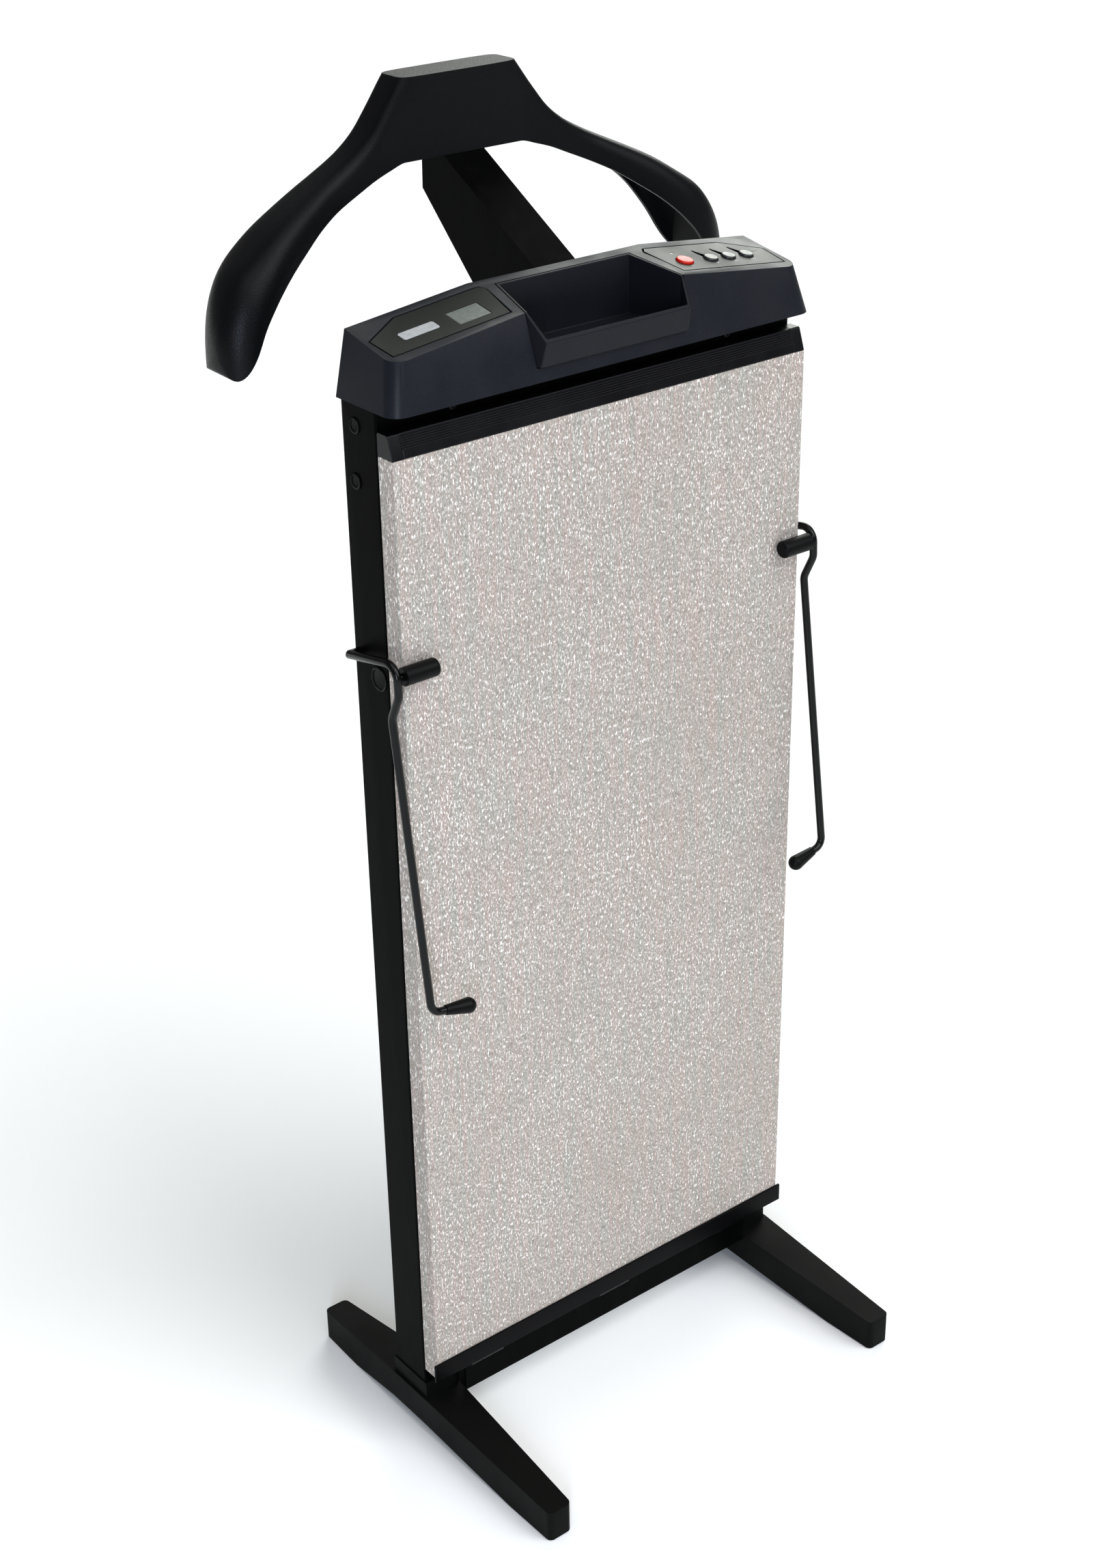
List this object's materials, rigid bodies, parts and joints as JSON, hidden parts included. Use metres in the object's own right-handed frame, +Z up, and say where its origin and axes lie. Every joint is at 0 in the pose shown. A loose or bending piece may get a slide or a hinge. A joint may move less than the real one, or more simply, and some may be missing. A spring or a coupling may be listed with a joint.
{
  "type": "trouser press",
  "caption": "Free-standing electric trouser press: a hinged laminate pressing board between two clamp levers, under a header with a tray, push buttons and a jacket hanger.",
  "frame": {"origin": "on the floor, under the middle of the whole press's box", "axes": "+Z up; the front board faces -Y; +X is to the right for a person facing the front"},
  "size_m": [0.4716, 0.352, 1.09],
  "materials": {
    "board_laminate": "satin laminate with fine vertical streaks and pale flecks",
    "header_plastic": "fine speckled satin",
    "black_plastic": "satin",
    "hanger_plastic": "leather grain",
    "frame_paint": "satin powder coat",
    "foot_plastic": "fine satin texture",
    "rear_sheet": "matt sheet",
    "black_steel": "satin enamel",
    "bright_steel": "zinc plated",
    "rubber": "matt",
    "button_red": "gloss",
    "button_grey": "satin",
    "window_grey": "gloss",
    "led_red": "gloss",
    "press_cloth": "plain weave",
    "felt": "felt",
    "silicone": "matt silicone",
    "fibreboard": "raw fibreboard",
    "circuit_green": "satin"
  },
  "bodies": {
    "stand": {"foot_left": "foot_plastic", "foot_right": "foot_plastic", "foot_glides": "rubber", "foot_bolts": "bright_steel", "upright_left": "frame_paint", "upright_right": "frame_paint", "upright_spigots": "black_plastic", "lower_rail": "frame_paint", "upper_rail": "frame_paint", "upper_rail_screws": "bright_steel", "side_screw_caps": "black_plastic", "pivot_caps": "black_plastic", "cord_pegs": "black_plastic", "rear_press_cloth": "press_cloth", "felt_underlay": "felt", "heating_pad": "silicone", "back_board": "fibreboard", "thermostat": "bright_steel", "thermal_fuse": "bright_steel", "rear_cover": "rear_sheet", "rear_cover_posts": "black_plastic", "rear_cover_screws": "bright_steel", "cable_gland": "rubber", "header_cover": "header_plastic", "header_base": "black_plastic", "valet_tray": "black_plastic", "left_panel": "header_plastic", "display_window": "window_grey", "control_panel": "header_plastic", "indicator_led": "led_red", "circuit_board": "circuit_green", "circuit_standoffs": "black_plastic", "tact_switches": "black_plastic", "hanger_bracket": "hanger_plastic", "bracket_plate": "bright_steel", "bracket_bolts": "bright_steel", "jacket_hanger": "hanger_plastic", "hanger_screws": "bright_steel", "hinge_rail_leaves": "black_steel", "hinge_pins": "bright_steel"},
    "front_panel": {"front_board": "board_laminate", "front_foam_pad": "felt", "front_press_cloth": "press_cloth", "top_trim": "black_plastic", "trim_end_caps": "black_plastic", "bottom_lip": "black_plastic", "lever_bushes": "rubber", "hinge_board_leaves": "black_steel"},
    "left_clamp": {"lever_left": "black_steel", "grip_left": "rubber"},
    "right_clamp": {"lever_right": "black_steel", "grip_right": "rubber"},
    "power_key": {"power_button": "button_red"},
    "timer_key_1": {"timer_button_1": "button_grey"},
    "timer_key_2": {"timer_button_2": "button_grey"},
    "timer_key_3": {"timer_button_3": "button_grey"}
  },
  "joints": [
    {"name": "front_panel_hinge", "type": "hinge", "parent": "stand", "child": "front_panel", "pos_m": [0, -0.0235, 0.0649], "axis": [1, 0, 0], "range_deg": [0, 15]},
    {"name": "left_clamp_pivot", "type": "hinge", "parent": "front_panel", "child": "left_clamp", "pos_m": [-0.203, -0.0335, 0.721], "axis": [-1, 0, 0], "range_deg": [0, 100]},
    {"name": "right_clamp_pivot", "type": "hinge", "parent": "front_panel", "child": "right_clamp", "pos_m": [0.203, -0.0335, 0.721], "axis": [-1, 0, 0], "range_deg": [0, 100]},
    {"name": "power_key_travel", "type": "slide", "parent": "stand", "child": "power_key", "axis": [-0.1098, 0.1812, -0.9773], "range_m": [0, 0.0015], "stiffness_N_per_m": 300},
    {"name": "timer_key_1_travel", "type": "slide", "parent": "stand", "child": "timer_key_1", "axis": [-0.1098, 0.1812, -0.9773], "range_m": [0, 0.0015], "stiffness_N_per_m": 300},
    {"name": "timer_key_2_travel", "type": "slide", "parent": "stand", "child": "timer_key_2", "axis": [-0.1098, 0.1812, -0.9773], "range_m": [0, 0.0015], "stiffness_N_per_m": 300},
    {"name": "timer_key_3_travel", "type": "slide", "parent": "stand", "child": "timer_key_3", "axis": [-0.1098, 0.1812, -0.9773], "range_m": [0, 0.0015], "stiffness_N_per_m": 300}
  ]
}
